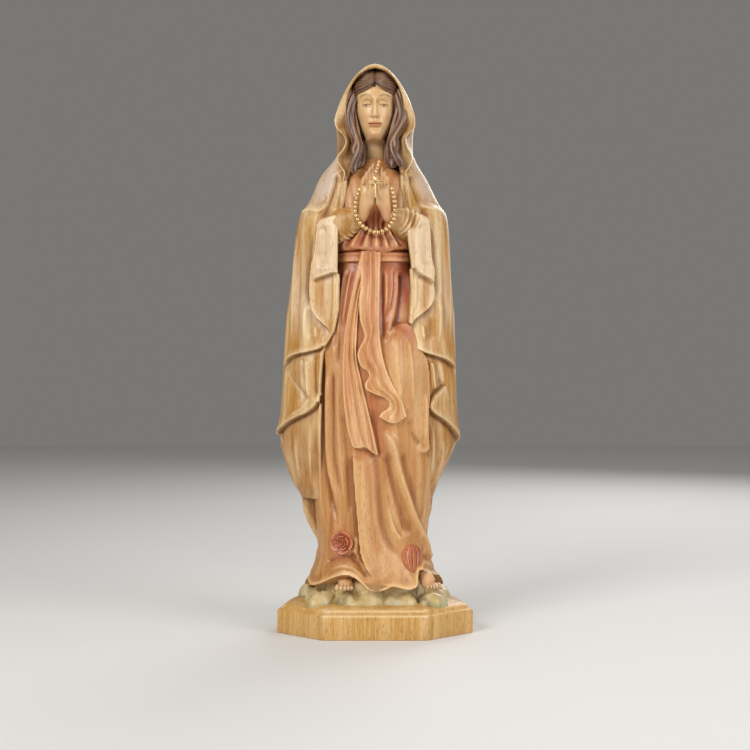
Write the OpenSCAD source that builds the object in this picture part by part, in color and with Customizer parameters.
// Standing Madonna: a painted wood carving, glued up from separately carved blocks.
// Millimetres. +Z is up, the figure faces -Y, and the origin is under the middle of the plinth.
// Left and right are the figure's own, so her right side is at -X.

/* [Plinth] */
// Height of the plinth's slab, without its moulding
slab_h = 12.4; // [11:0.2:14]
// Height of the raised tier on the slab
tier_h = 2.2; // [1.6:0.1:2.4]
// How far the raised tier stands back from the slab's edge
tier_inset = 3; // [2:0.5:4]
// Width of the plinth at its widest corners
plinth_w = 102.2; // [102:0.2:110]
// Depth of the plinth, front to back
plinth_d = 75.4; // [75:0.2:84]

/* [Rosary] */
// Diameter of a bead
bead_d = 2.1; // [1.7:0.1:2.2]
// Pitch of the beads in the hanging loop
bead_pitch = 2.3; // [2.25:0.05:3]
// Thickness of the wire that the beads sit on
wire_d = 0.6; // [0.4:0.1:0.7]
// Length of the cross, top to bottom
cross_l = 11; // [9:0.5:12]

/* [Fastenings] */
// Diameter of the two dowels between the plinth and the figure
base_dowel_d = 6; // [5:0.5:8]
// Diameter of the dowel in the neck
neck_dowel_d = 3; // [2:0.5:4]
// Diameter of the dowel in each wrist
wrist_dowel_d = 2; // [1.5:0.5:2.5]
// Diameter of the plinth screw's shank
screw_d = 3.5; // [3:0.5:4]

/* [Smoothness] */
// Points around the large carved forms
around = 40; // [32:4:48]
// Height step between the rings of the large carved forms
ring_step = 8; // [7:0.5:12]

/* [Hidden] */
$fn = 48;

wood = "#d2ac72";
cream = "#dcc48f";
rose_stain = "#c98a66";
flesh = "#e0c195";
umber = "#86685a";
gilt = "#d9b85c";
moss = "#a8a67c";
beech = "#c9a271";
steel = "#9a9a98";

gap = 0.1;                         // glue line between neighbouring blocks
plinth_top = slab_h + tier_h;
dowel_x = 16;                      // the two base dowels stand this far to each side
dowel_sink = 8;                    // and go this deep into the plinth
dowel_rise = 34;                   // and this high into the gown
screw_head_d = 7;
screw_len = 30;

// Half of the plinth's outline from its front corner to its back corner, as shares of width and depth.
plinth_half = [[0.258, -0.5], [0.5, -0.212], [0.462, 0.075], [0.29, 0.5]];

// Carved forms as [height, middle in x, half width, depth to the front, depth to the back].
gown_form = [
    [22, -0.5, 34, 29, 23], [29, -0.5, 30, 28, 23], [36, -0.5, 27.5, 26.5, 22],
    [50, -1, 27.5, 25.5, 21], [75, -1.5, 29.5, 25, 20], [120, -1.5, 30.5, 25, 19],
    [150, -1.5, 28, 23.5, 18], [175, -1.3, 23.5, 21, 16.5], [192, -1, 19, 19, 15],
    [205, -0.5, 19, 18.5, 14.5], [225, 0, 18.5, 17, 14], [238, 0, 16, 13.5, 12.5],
    [245, 0, 10.5, 10, 10], [249, 0, 6.6, 6.2, 7]];
mantle_form = [
    [42, -2, 27, 3, 23.5], [52, -3.5, 31, 6, 25], [60, -4.5, 34, 10, 26.5], [70, -4.3, 35, 14, 28],
    [82, -4.2, 41.5, 19, 29], [96, -3.6, 46.2, 23, 29], [105, -3.4, 46.7, 24.5, 29],
    [120, -3, 46.4, 25.5, 28.5], [140, -2.9, 45.8, 25.5, 27.5], [165, -2.4, 44.8, 25.5, 26],
    [185, -1.8, 43, 25, 25], [208, -1.4, 40.9, 23.5, 24], [220, -0.8, 39.4, 20, 22.5],
    [225, -0.9, 35.6, 17.5, 22], [234, -0.5, 30.8, 15, 20.5], [241, -0.2, 26.6, 12, 19.5],
    [247, 0, 22.6, 9, 18.5]];
veil_form = [
    [232, 0, 18, 11, 14.5], [246, 0, 20.4, 12.5, 15.8], [256, 0, 20.6, 13, 16], [264, 0, 21.4, 13.5, 16],
    [272, 0, 20.3, 13.5, 16], [280, 0, 18, 13, 15.5], [288, 0, 14.2, 12, 14], [294, 0, 9.8, 10, 11.5],
    [298, 0, 5.4, 6.5, 8], [300, 0, 1.6, 2.5, 3.5]];
head_form = [
    [243, 0, 6.2, 4.5, 5.5], [250, 0, 6.1, 5, 5.5], [256, 0, 6.4, 7, 6.5], [259.5, 0, 6.9, 12.2, 8],
    [262, 0, 8.6, 13.8, 9.5], [268, 0, 10.6, 14.4, 11], [276, 0, 11.4, 14.2, 12], [284, 0, 11, 13, 11.5],
    [290, 0, 9, 10.5, 9.5], [294, 0, 5.5, 6.5, 6.5], [296, 0, 2, 2.5, 3]];

// The gap between the mantle's two front edges, seen from the front as [x, z].
mantle_opening = [
    [-20, 226], [-20, 202], [-20.5, 174], [-23, 156], [-29, 147], [-29, 122], [-30.5, 106],
    [-30.5, 71], [-40, 66], [-45, 30], [45, 30], [36, 66], [25, 71], [27, 106], [27, 122],
    [23.5, 147], [18, 156], [19, 174], [15.5, 202], [17.5, 226], [9, 252], [-9, 252]];

// The layers of cloth over each forearm, seen from the front as [x, z], each with how far it stands out.
falls_right = [
    [2.6, [[-28.6, 217], [-19.8, 217], [-20.3, 193], [-21.6, 189.5], [-26, 187], [-31.5, 185], [-32, 193],
        [-30, 204]]],
    [1.6, [[-46, 221], [-30, 221], [-32.5, 197], [-34.2, 180], [-33, 170], [-26.5, 163.5], [-23, 156],
        [-24.7, 152.5], [-30, 147.3], [-39, 145], [-47.5, 140.5], [-56, 140]]],
    [0.9, [[-56, 136], [-46.5, 136], [-34.3, 122.5], [-30, 121], [-36, 115], [-44, 110.5], [-50.5, 105.5],
        [-56, 105]]]];
falls_left = [
    [2.6, [[17.3, 217], [27.3, 217], [29.6, 193], [29, 185], [24, 188], [20.3, 190], [18.3, 197]]],
    [1.6, [[44, 221], [28, 221], [30, 197], [31, 180], [28.6, 170], [20.5, 163.5], [18, 156.5],
        [19.5, 152], [24, 147.3], [33, 144.7], [42, 140.5], [52, 140]]],
    [0.9, [[52, 133], [38, 130], [29, 122], [31.5, 116], [38.7, 109.5], [43.7, 103.5], [52, 103]]]];

// Guide lines as [x, y, z].
veil_edge_right =
    [[-15.5, -11, 256], [-19.5, -13, 248], [-17, -17, 240], [-17.4, -19.5, 231], [-18.8, -22, 222]];
veil_edge_left = [[15.5, -11, 257], [19.5, -13, 248], [15.5, -17, 240], [16.2, -19.5, 231], [17.3, -22, 222]];
tail_long = [[-3, -20.5, 198], [-8, -23, 182], [-11, -25.8, 155], [-10.5, -27.5, 130], [-6, -28, 96]];
tail_short = [[-1, -21.5, 198], [-1, -24.5, 172], [0, -27.2, 150], [5, -28.8, 130], [10, -28.6, 112]];
lock_right = [[-11, -6, 284], [-13.2, -8.5, 274], [-12.4, -10.5, 266], [-10.3, -11.5, 258],
    [-12.4, -12.8, 250], [-10.5, -15.5, 241]];
lock_left = [[11, -6, 284], [13.4, -8.5, 274], [12.6, -10.5, 266], [10.6, -11.5, 258],
    [12.8, -12.8, 250], [11.5, -15.5, 242]];
loop_r = 10;                       // the rosary hangs in a U of this radius
loop_leg = 12;                     // with legs of this length, leaning in to the hands
loop_low = 208.2;                  // and its lowest point at this height

// ---------- shared geometry ----------

function column(form, z, c) = lookup(z, [for (row = form) [row[0], row[c]]]);
function low(form) = form[0][0];
function high(form) = form[len(form) - 1][0];
function levels(form, step) = let (n = ceil((high(form) - low(form)) / step))
    [for (i = [0:n]) low(form) + (high(form) - low(form)) * i / n];

// One horizontal ring of a form, grown by g, with shallow folds around it.
function ring(form, z, n, g = 0, folds = 0, ripple = 0) = [for (i = [0:n - 1])
    let (a = 360 * i / n, r = 1 + ripple * cos(folds * a))
    [column(form, z, 1) + (column(form, z, 2) + g) * cos(a) * r,
     (sin(a) < 0 ? column(form, z, 3) + g : column(form, z, 4) + g) * sin(a) * r, z]];

// A closed solid through rings that all have the same number of points.
module loft(rings) {
    n = len(rings[0]);
    last = (len(rings) - 1) * n;
    walls = [for (j = [0:len(rings) - 2], i = [0:n - 1])
        let (a = j * n + i, b = j * n + (i + 1) % n) each [[a, a + n, b + n], [a, b + n, b]]];
    caps = [for (i = [1:n - 2]) each [[0, i, i + 1], [last, last + i + 1, last + i]]];
    polyhedron(points = [for (r = rings) each r], faces = concat(walls, caps));
}

module form_solid(form, g = 0, n = around, step = ring_step, folds = 0, ripple = 0)
    loft([for (z = levels(form, step)) ring(form, z, n, g, folds, ripple)]);

// A prism through the figure from an outline seen from the front.
module seen_from_front(outline, y_from, y_to)
    translate([0, y_to, 0]) rotate([90, 0, 0]) linear_extrude(y_to - y_from) polygon(outline);

// The mesh kernel works out a carved node as one shape.
module carved() resize([0, 0, 0]) children();

function along(path, t) =
    let (k = min(floor(t * (len(path) - 1)), len(path) - 2), f = t * (len(path) - 1) - k)
    path[k] * (1 - f) + path[k + 1] * f;

// A flat-lying band or a rounded lock along a guide line: half width w and half thickness h, end to end.
module strip(path, w, h, steps, sides, sway = 0, waves = 0)
    loft([for (j = [0:steps]) let (t = 1 - j / steps, c = along(path, t))
        [for (i = [0:sides - 1]) let (a = 360 * i / sides)
            [c[0] + lookup(t, w) * cos(a) + sway * sin(360 * waves * t), c[1] + lookup(t, h) * sin(a),
                c[2]]]]);

// The rosary's U, by distance d along it from its lowest point.
loop_arc = loop_r * PI / 2;
loop_half = loop_arc + loop_leg;
function loop_point(d) = let (e = abs(d), up = max(0, e - loop_arc), a = min(e, loop_arc) / loop_r * 180 / PI)
    [sign(d) * (loop_r * sin(a) - 0.08 * up), loop_y(e), loop_low + loop_r * (1 - cos(a)) + 0.996 * up];
function loop_y(e) = -23.4 - 5 * min(1, pow(e / loop_half, 1.3)) - 1.2 * sin(180 * e / loop_half);

// Directions across a line that runs along d.
function unit(v) = v / norm(v);
function side_of(d) = unit(cross(d, [0, 0.2, 1]));

// A round section of radius r at c, square to the direction d.
function hoop(c, d, r, n, squash = 1) = let (u = side_of(d), v = cross(u, unit(d)))
    [for (i = [0:n - 1]) let (a = 360 * i / n) c + u * r * squash * cos(a) + v * r * sin(a)];

// Stands what is drawn along +Z at the point p, turned to point along v.
module point_along(p, v) translate(p) rotate([0, acos(v[2] / norm(v)), atan2(v[1], v[0])]) children();
module rod(p, q, w) point_along(p, q - p) cylinder(d = w, h = norm(q - p), $fn = 24);

// ---------- plinth and ground ----------

module plinth_outline(inset = 0) {
    half = [for (p = plinth_half) [p[0] * (plinth_w - 2 * inset), p[1] * (plinth_d - 2 * inset)]];
    polygon(concat([for (p = half) [p[0], p[1]]], [for (i = [3:-1:0]) [-half[i][0], half[i][1]]]));
}

module plinth() color(wood) difference() {
    union() {
        linear_extrude(slab_h) plinth_outline();
        translate([0, 0, slab_h]) linear_extrude(tier_h) plinth_outline(tier_inset);
    }
    for (side = [-1, 1]) translate([side * dowel_x, 0, plinth_top - dowel_sink])
        cylinder(d = base_dowel_d + gap, h = dowel_sink + 1);
    translate([0, 0, -1]) cylinder(d = screw_d + gap, h = plinth_top + 2);
    translate([0, 0, -1]) cylinder(d = screw_head_d + 1, h = 5);
}

module base_dowel_bores() {
    for (side = [-1, 1]) translate([side * dowel_x, 0, 0])
        cylinder(d = base_dowel_d + gap, h = dowel_rise + 0.5, $fn = 32);
    cylinder(d = screw_d + gap, h = screw_len + 4, $fn = 32);
}

module stone(at, size, turn) translate(at) rotate([0, 0, turn]) hull() {
    translate([0, 0, size[2] * 0.3]) cube([size[0], size[1], size[2] * 0.6], center = true);
    translate([0, 0, size[2] * 0.5]) cube([size[0] * 0.6, size[1] * 0.55, size[2]], center = true);
}

module rock_mound() color(moss) carved() difference() {
    union() {
        loft([for (p = [[0, 1], [0.6, 0.96], [1, 0.84]]) [for (i = [0:23]) let (a = 15 * i)
            [34 * p[1] * cos(a), 1 + 29 * p[1] * sin(a), plinth_top + 8.6 * p[0]]]]);
        for (i = [0:10]) let (a = -170 + i * 33)
            stone([36 * cos(a), 1 + 29 * sin(a), plinth_top],
                [13 + 3 * (i % 3), 9, 6.5 + (i * 7) % 4], a + 90);
    }
    form_solid(gown_form, gap);
    foot(-1, gap);
    foot(1, gap);
    base_dowel_bores();
}

// ---------- feet ----------

foot_at = [-16, 29];

module foot(side, g = 0) translate([side < 0 ? foot_at[0] : foot_at[1], -29, 0]) rotate([0, 0, side * 12]) {
    hull() {
        translate([0, -1, 25.4]) sphere(r = 3.4 + g, $fn = 16);
        translate([2.6, 0, 24.8]) sphere(r = 2.4 + g, $fn = 16);
        translate([-2.6, 0, 24.8]) sphere(r = 2.4 + g, $fn = 16);
        translate([0, 9, 28.5]) sphere(r = 4 + g, $fn = 16);
    }
    for (i = [0:4]) translate([(i - 2) * 1.8 * side, -3.6 + i * 0.35, 24.4])
        sphere(r = 1.7 - 0.15 * i + g, $fn = 12);
}

module foot_right() color(flesh) carved() difference() { foot(-1); form_solid(gown_form, gap); }
module foot_left() color(flesh) carved() difference() { foot(1); form_solid(gown_form, gap); }

// ---------- gown, belt and sash ----------

module gown_solid(g = 0) form_solid(gown_form, g, folds = 11, ripple = 0.02);

module gown() color(wood) carved() difference() {
    gown_solid();
    base_dowel_bores();
    neck_bore();
    form_solid(head_form, gap, n = 28, step = 4);
}

module belt_band(g) intersection() {
    gown_solid(g);
    translate([0, 0, 196.5]) cube([60, 60, 6.5], center = true);
}

module belt() color(rose_stain) carved() difference() {
    belt_band(1.1);
    gown_solid(gap / 2);
    mantle_solid(gap);
}

long_w = [[0, 5.5], [0.3, 6.5], [1, 6.2]];
short_w = [[0, 5], [0.5, 5.6], [0.8, 7], [1, 9]];
tail_t = [[0, 1.4], [1, 2.2]];

module knot_solid(g = 0) hull() {
    translate([-4.6, -20.4, 199]) sphere(r = 1.6 + g, $fn = 12);
    translate([2, -20.6, 198.4]) sphere(r = 1.6 + g, $fn = 12);
    translate([-5.6, -21.2, 193]) sphere(r = 1.4 + g, $fn = 12);
    translate([2.2, -21.2, 193]) sphere(r = 1.4 + g, $fn = 12);
}

module sash_knot() color(rose_stain) carved() difference() {
    knot_solid();
    gown_solid(gap / 2);
    belt_band(1.1 + gap);
}

module sash_tail_long() color(rose_stain) carved() difference() {
    strip(tail_long, long_w, tail_t, 14, 12);
    gown_solid(gap / 2);
    belt_band(1.1 + gap);
    strip(tail_short, short_w, [[0, 1.5], [1, 2.3]], 14, 12, 1, 2);
    knot_solid(gap);
}

module sash_tail_short() color(rose_stain) carved() difference() {
    strip(tail_short, short_w, tail_t, 14, 12, 1, 2);
    gown_solid(gap / 2);
    belt_band(1.1 + gap);
    knot_solid(gap);
}

// ---------- mantle ----------

module mantle_solid(g = 0) difference() {
    form_solid(mantle_form, g, folds = 13, ripple = 0.012);
    seen_from_front(mantle_opening, -60, 2);
}

module mantle() color(cream) carved() difference() {
    mantle_solid();
    gown_solid(gap);
    form_solid(veil_form, gap, n = 32, step = 5);
    sleeve_solid(-1, gap);
    sleeve_solid(1, gap);
}

module fall(layers, side, g = 0) difference() {
    union() for (layer = layers) intersection() {
        form_solid(mantle_form, layer[0] + g);
        seen_from_front(layer[1], -60, 0);
    }
    form_solid(mantle_form, gap, folds = 13, ripple = 0.012);
    gown_solid(gap);
    sleeve_solid(side, gap);
}

module mantle_fall_right() color(cream) carved() fall(falls_right, -1);
module mantle_fall_left() color(cream) carved() fall(falls_left, 1);

// ---------- sleeves and hands ----------

// A sleeve runs from the elbow under the mantle to the wrist, with pleats that deepen towards the cuff.
elbow = [-25, -12, 207];
wrist = [-6.4, -26.2, 218.6];

module sleeve_solid(side, g = 0) mirror([side > 0 ? 1 : 0, 0, 0])
    loft([for (j = [6:-1:0]) let (t = j / 6, r = 9.5 - 4.3 * t + g)
        [for (i = [0:19])
            let (a = 18 * i, rr = r * (1 + 0.04 * t * cos(5 * a)))
            let (h = hoop(elbow * (1 - t) + wrist * t, wrist - elbow, rr, 20, 0.7))
            h[i]]]);

module sleeve_right() color(cream) carved() difference() {
    sleeve_solid(-1);
    gown_solid(gap);
    form_solid(veil_form, gap, n = 32, step = 5);
    wrist_bore(-1);
}

module sleeve_left() color(cream) carved() difference() {
    sleeve_solid(1);
    gown_solid(gap);
    form_solid(veil_form, gap, n = 32, step = 5);
    wrist_bore(1);
}

finger_x = [1.1, 2.7, 4.3, 5.7];   // from the middle outwards
finger_tip = [243.4, 241.4, 239.3, 236.6];

module hand_solid(side) mirror([side > 0 ? 1 : 0, 0, 0]) {
    for (i = [0:3]) hull() {
        translate([-finger_x[i], -34 + i * 0.7, finger_tip[i]]) sphere(r = 1.15, $fn = 10);
        translate([-finger_x[i] - 0.1, -31.8 + i * 0.6, 228]) sphere(r = 1.25, $fn = 10);
    }
    hull() {
        for (i = [0, 3]) translate([-finger_x[i], -31.8 + i * 0.6, 229]) sphere(r = 1.6, $fn = 12);
        for (i = [0, 3]) translate([-finger_x[i], -29 + i * 0.6, 233]) sphere(r = 1.6, $fn = 12);
        translate([-5.6, -27, 220]) sphere(r = 3, $fn = 14);
    }
}

module hand_cut(side) intersection() {
    translate([side == -1 ? -30 - gap / 2 : gap / 2, -60, 200]) cube([30, 60, 60]);
    difference() { hand_solid(side); sleeve_solid(side, gap); gown_solid(gap); wrist_bore(side); }
}

module hand_right() color(flesh) carved() hand_cut(-1);
module hand_left() color(flesh) carved() hand_cut(1);

// ---------- head, hair and veil ----------

module nose() hull() {
    translate([0, -14, 270.5]) sphere(r = 1.5, $fn = 16);
    translate([0, -12.8, 277]) sphere(r = 1, $fn = 16);
}

module head() color(flesh) carved() difference() {
    union() { form_solid(head_form, 0, n = 28, step = 3); nose(); }
    neck_bore();
}

module hair_cap(g) intersection() {
    form_solid(head_form, g, n = 28, step = 3);
    union() {
        translate([-20, -6, 262]) cube([40, 40, 40]);
        seen_from_front([[-20, 276], [-9, 277], [-4, 280], [0, 286], [4, 280], [9, 277], [20, 276],
            [20, 310], [-20, 310]], -30, 0);
    }
}

lock_w = [[0, 2.4], [0.7, 3], [1, 1.4]];
lock_t = [[0, 2.2], [0.7, 2.6], [1, 1.2]];

module hair_crown() color(umber) carved() difference() {
    hair_cap(1.7);
    form_solid(head_form, gap, n = 28, step = 3);
}

function wider(w, g) = [for (p = w) [p[0], p[1] + g]];
module lock_solid(side, g = 0)
    strip(side < 0 ? lock_right : lock_left, wider(lock_w, g), wider(lock_t, g), 14, 10);

module lock(side) difference() {
    lock_solid(side);
    hair_cap(1.7 + gap);
    form_solid(head_form, gap, n = 28, step = 3);
    gown_solid(gap);
}

module hair_lock_right() color(umber) carved() lock(-1);
module hair_lock_left() color(umber) carved() lock(1);

module veil() color(cream) carved() difference() {
    form_solid(veil_form, n = 32, step = 5);
    // the hollow that the head and hair sit in, open to the front
    intersection() {
        hull() for (p = [[0, 0, 281, 14.6], [0, 0, 262, 15.6], [0, 0, 240, 14.2]]) translate([p[0], -9, p[2]])
            rotate([90, 0, 0]) cylinder(r = p[3] - 1, h = 20, center = true, $fn = 28);
        translate([-30, -40, 225]) cube([60, 41, 80]);
    }
    hair_cap(1.7 + gap);
    form_solid(head_form, gap, n = 28, step = 3);
    gown_solid(gap);
    for (side = [-1, 1]) lock_solid(side, gap);
}

// The veil's two ends, which fall over the chest from under the chin.
module veil_fall(side, path) difference() {
    strip(path, [[0, 2], [0.6, 4.2], [1, 4.4]], [[0, 2], [1, 2.6]], 12, 12);
    gown_solid(gap);
    form_solid(veil_form, gap, n = 32, step = 5);
    mantle_solid(gap);
    fall(side < 0 ? falls_right : falls_left, side, gap);
    sleeve_solid(side, gap);
    lock_solid(side, gap);
    mirror([side > 0 ? 1 : 0, 0, 0]) translate([-8, -60, 200]) cube([40, 80, 80]);
}

module veil_fall_right() color(cream) carved() veil_fall(-1, veil_edge_right);
module veil_fall_left() color(cream) carved() veil_fall(1, veil_edge_left);

// ---------- rosary ----------

// A bead is a ball turned with a bore for the wire.
module bead(c, v, w) point_along(c, v) rotate_extrude() difference() {
    circle(d = w);
    translate([-w, -w]) square([w + wire_d / 2 + 0.12, 2 * w]);
}

pendant_top = [2.4, -35.6, 244.6];
pendant_end = [0.2, -36.3, 237.4];

module rosary_beads() color(gilt) {
    for (d = [0:bead_pitch:loop_half - bead_pitch / 2], side = [-1, 1])
        if (side > 0 || d > 0)
            bead(loop_point(side * d), loop_point(side * d + 0.5) - loop_point(side * d - 0.5), bead_d);
    for (t = [0.15, 0.48, 0.81])
        bead(pendant_top * (1 - t) + pendant_end * t, pendant_end - pendant_top, bead_d * 0.9);
}

module rosary_wire_solid(w) {
    steps = 40;
    loft([for (j = [steps:-1:0]) let (d = loop_half * (2 * j / steps - 1))
        hoop(loop_point(d), loop_point(d + 0.2) - loop_point(d - 0.2), w / 2, 6)]);
}

module rosary_wire() color(gilt) {
    carved() rosary_wire_solid(wire_d);
    rod(pendant_top, pendant_end, wire_d);
}

module rosary_cross() color(gilt) translate([0, -36.1, 236.6 - cross_l]) {
    translate([-1.1, -0.7, 0]) cube([2.2, 1.4, cross_l]);
    for (side = [-1, 1]) translate([side > 0 ? 1.1 : -3.3, -0.7, cross_l - 4.2]) cube([2.2, 1.4, 2.2]);
}

// ---------- roses ----------

// A carved rose: rings of petals, each ring smaller and further out, round a bud.
module rose(at, size, tilt) translate(at) rotate([90 - tilt, 0, 0]) {
    for (k = [0:2]) rotate([0, 0, 31 * k]) for (i = [0:4]) rotate([0, 0, 72 * i]) hull() {
        translate([size * (0.52 - 0.15 * k), 0, 0.8 + k])
            cylinder(r = size * (0.46 - 0.1 * k), h = 1, center = true, $fn = 10);
        translate([0, 0, 0.4 + k]) cylinder(r = 0.6, h = 1, center = true, $fn = 8);
    }
    translate([0, 0, 3]) sphere(r = size * 0.24, $fn = 12);
}

module rose_right() color(rose_stain) carved() difference() {
    rose([-17.3, -22.6, 47.5], 5.4, 6);
    gown_solid(gap);
}
module rose_left() color(rose_stain) carved() difference() {
    rose([18.9, -23, 39.5], 5.4, 6);
    gown_solid(gap);
}

// ---------- dowels and screw ----------

module base_dowel(side) color(beech) translate([side * dowel_x, 0, plinth_top - dowel_sink])
    cylinder(d = base_dowel_d, h = dowel_rise - plinth_top + dowel_sink);
module base_dowel_right() base_dowel(-1);
module base_dowel_left() base_dowel(1);

module plinth_screw() color(steel) difference() {
    union() {
        translate([0, 0, 1]) cylinder(d = screw_head_d, h = 2.6);
        cylinder(d = screw_d, h = screw_len);
        translate([0, 0, screw_len]) cylinder(d1 = screw_d, d2 = 1, h = 3);
    }
    translate([0, 0, -1]) cylinder(d = screw_d + 1, h = 2);
    translate([0, 0, 1.5]) cube([6, 0.9, 1.4], center = true);
}

module neck_bore() translate([0, 0.5, 236]) cylinder(d = neck_dowel_d + gap, h = 18, $fn = 32);
module neck_dowel() color(beech) translate([0, 0.5, 236.5]) cylinder(d = neck_dowel_d, h = 17);

module wrist_line(side, w, back, ahead) mirror([side > 0 ? 1 : 0, 0, 0]) let (d = unit(wrist - elbow))
    rod(wrist - d * back, wrist + d * ahead, w);
module wrist_bore(side) wrist_line(side, wrist_dowel_d + gap, 6.3, 2.3);
module wrist_dowel_right() color(beech) wrist_line(-1, wrist_dowel_d, 6, 2);
module wrist_dowel_left() color(beech) wrist_line(1, wrist_dowel_d, 6, 2);

// ---------- nodes ----------

plinth();
rock_mound();
foot_right();
foot_left();
gown();
belt();
sash_knot();
sash_tail_long();
sash_tail_short();
mantle();
mantle_fall_right();
mantle_fall_left();
sleeve_right();
sleeve_left();
hand_right();
hand_left();
head();
hair_crown();
hair_lock_right();
hair_lock_left();
veil();
veil_fall_right();
veil_fall_left();
rosary_beads();
rosary_wire();
rosary_cross();
rose_right();
rose_left();
base_dowel_right();
base_dowel_left();
plinth_screw();
neck_dowel();
wrist_dowel_right();
wrist_dowel_left();
